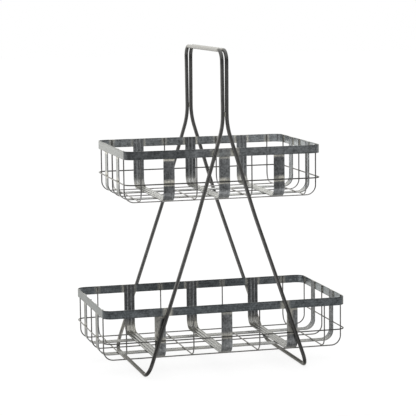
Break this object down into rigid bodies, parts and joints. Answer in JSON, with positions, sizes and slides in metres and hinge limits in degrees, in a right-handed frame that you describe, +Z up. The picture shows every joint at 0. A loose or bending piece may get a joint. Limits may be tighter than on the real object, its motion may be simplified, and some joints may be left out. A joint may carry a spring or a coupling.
{
  "type": "wire produce basket",
  "caption": "Tiered wire produce basket: shallow open baskets of flat bands, wires and fluted straps, carried by looped rods that make A-shaped legs and a tall carrying handle.",
  "frame": {"origin": "on the ground, under the middle of the basket", "axes": "+X along the baskets' long side, +Y to the back, +Z up"},
  "size_m": [0.428, 0.2588, 0.5512],
  "materials": {
    "rod": "dark aged steel rod, satin, with faint drawn streaks along it",
    "rim": "dull galvanised steel band, mottled grey, satin, darker along its edges",
    "strap": "dull galvanised steel strap, mottled grey, satin, three shallow flutes",
    "wire": "dark aged steel wire, satin",
    "weld": "pale grey weld metal, matte, lumpy"
  },
  "bodies": {
    "root": {"handle_welds": "weld", "left_rod_loop": "rod", "lower_cross_strap_1": "strap", "lower_cross_strap_2": "strap", "lower_cross_strap_3": "strap", "lower_cross_wire_1": "wire", "lower_cross_wire_2": "wire", "lower_cross_wire_3": "wire", "lower_cross_wire_4": "wire", "lower_lengthwise_strap_1": "strap", "lower_lengthwise_strap_2": "strap", "lower_lengthwise_wire_1": "wire", "lower_lengthwise_wire_2": "wire", "lower_lengthwise_wire_3": "wire", "lower_rim": "rim", "lower_rim_welds": "weld", "lower_ring": "wire", "right_rod_loop": "rod", "upper_cross_strap_1": "strap", "upper_cross_strap_2": "strap", "upper_cross_strap_3": "strap", "upper_cross_wire_1": "wire", "upper_cross_wire_2": "wire", "upper_cross_wire_3": "wire", "upper_cross_wire_4": "wire", "upper_lengthwise_strap_1": "strap", "upper_lengthwise_strap_2": "strap", "upper_lengthwise_wire_1": "wire", "upper_lengthwise_wire_2": "wire", "upper_lengthwise_wire_3": "wire", "upper_rim": "rim", "upper_rim_welds": "weld", "upper_ring": "wire"}
  },
  "joints": []
}
